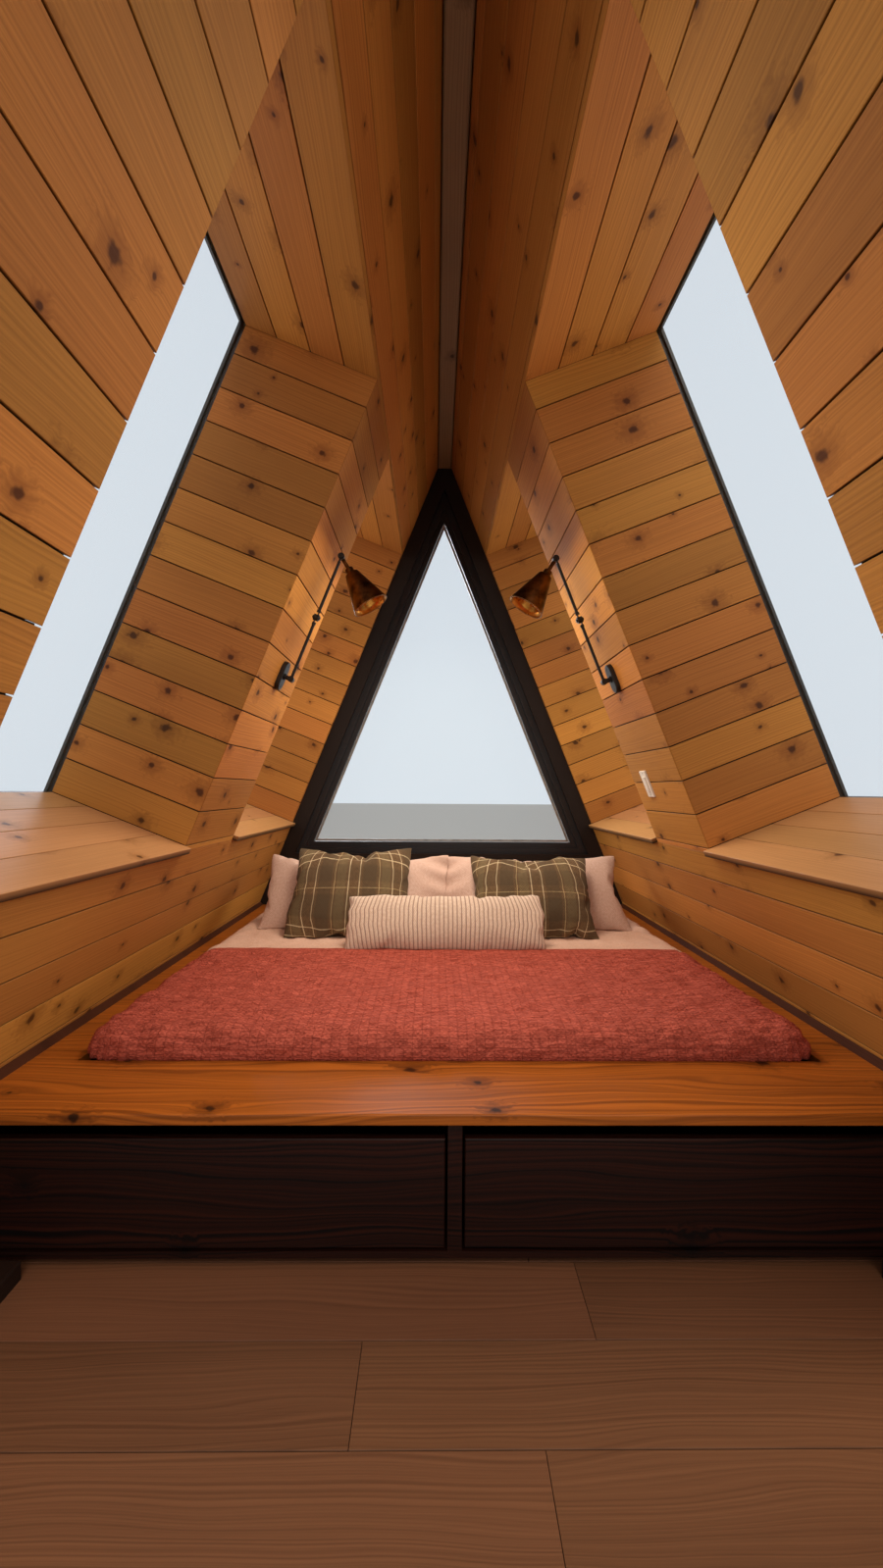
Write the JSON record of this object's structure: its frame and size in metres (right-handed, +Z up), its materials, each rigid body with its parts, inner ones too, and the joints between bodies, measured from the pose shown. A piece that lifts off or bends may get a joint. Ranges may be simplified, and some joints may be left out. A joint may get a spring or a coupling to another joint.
{
  "type": "a-frame cabin sleeping bay",
  "caption": "Open-fronted sleeping bay of an A-frame cabin: sloping timber-lined walls with deep windows, glazed gable, platform bed with drawers and jointed reading lights.",
  "frame": {"origin": "on the ground under the middle of the bay", "axes": "+X across the bay to the right, +Y in from the open front towards the glazed gable, +Z up"},
  "size_m": [3.3918, 3.896, 4.3361],
  "materials": {
    "treated_timber": "rough sawn",
    "dark_plywood": "stained",
    "oak_plank": "matt lacquer",
    "wall_core": "panel",
    "cedar_lining": "satin oil",
    "dark_roofing": "matt",
    "grey_timber": "weathered",
    "cedar_box": "satin oil",
    "cedar_sill": "satin oil",
    "window_glass": "clear",
    "black_metal": "satin",
    "black_timber": "painted",
    "platform_wood": "matt lacquer",
    "dark_kerb": "painted",
    "mattress_ticking": "woven",
    "coral_quilt": "crinkled cotton",
    "blush_sheet": "cotton",
    "blush_pillow": "cotton",
    "plaid_wool": "brushed plaid",
    "striped_cotton": "ribbed",
    "black_steel": "satin",
    "aged_brass": "aged",
    "switch_plastic": "matt"
  },
  "bodies": {
    "cabin": {"skids": "treated_timber", "floor_cassette": "dark_plywood", "floor_boards": "oak_plank", "left_lower_wall": "wall_core", "left_ribs": "wall_core", "left_upper_wall": "wall_core", "right_lower_wall": "wall_core", "right_ribs": "wall_core", "right_upper_wall": "wall_core", "left_lining": "cedar_lining", "right_lining": "cedar_lining", "left_roofing": "dark_roofing", "right_roofing": "dark_roofing", "ridge_cap": "dark_roofing", "ridge_beam": "grey_timber", "left_window_boxes": "cedar_box", "right_window_boxes": "cedar_box", "window_sills": "cedar_sill", "window_panes": "window_glass", "window_frames": "black_metal", "front_portal": "black_timber", "rear_portal": "black_timber", "end_wall_panel": "black_timber", "end_window_frame": "black_timber", "end_window_sash": "black_metal", "end_window_pane": "window_glass", "bed_base": "platform_wood", "bed_platform": "platform_wood", "bed_trims": "cedar_sill", "floor_kerbs": "dark_kerb", "mattress": "mattress_ticking", "quilt": "coral_quilt", "bed_sheet": "blush_sheet", "left_bed_pillow": "blush_pillow", "right_bed_pillow": "blush_pillow", "left_plaid_pillow": "plaid_wool", "right_plaid_pillow": "plaid_wool", "lumbar_pillow": "striped_cotton", "left_lamp_base": "black_steel", "right_lamp_base": "black_steel", "light_switch": "switch_plastic"},
    "left_drawer_body": {"left_drawer": "platform_wood"},
    "right_drawer_body": {"right_drawer": "platform_wood"},
    "left_arm_body": {"left_lamp_arm": "black_steel"},
    "right_arm_body": {"right_lamp_arm": "black_steel"},
    "left_shade_body": {"left_lamp_shade": "aged_brass"},
    "right_shade_body": {"right_lamp_shade": "aged_brass"}
  },
  "joints": [
    {"name": "left_drawer_slide", "type": "slide", "parent": "cabin", "child": "left_drawer_body", "axis": [0, -1, 0], "range_m": [0, 0.45]},
    {"name": "left_lamp_elbow", "type": "hinge", "parent": "cabin", "child": "left_arm_body", "pos_m": [-0.52123, 0, 2.04243], "axis": [0.9288, 0, -0.3706], "range_deg": [-70, 70]},
    {"name": "left_lamp_tilt", "type": "hinge", "parent": "left_arm_body", "child": "left_shade_body", "pos_m": [-0.42449, 0, 2.28484], "axis": [0, -1, 0], "range_deg": [-15, 50]},
    {"name": "right_drawer_slide", "type": "slide", "parent": "cabin", "child": "right_drawer_body", "axis": [0, -1, 0], "range_m": [0, 0.45]},
    {"name": "right_lamp_elbow", "type": "hinge", "parent": "cabin", "child": "right_arm_body", "pos_m": [0.52123, 0, 2.04243], "axis": [-0.9288, 0, -0.3706], "range_deg": [-70, 70]},
    {"name": "right_lamp_tilt", "type": "hinge", "parent": "right_arm_body", "child": "right_shade_body", "pos_m": [0.42449, 0, 2.28484], "axis": [0, 1, 0], "range_deg": [-15, 50]}
  ]
}
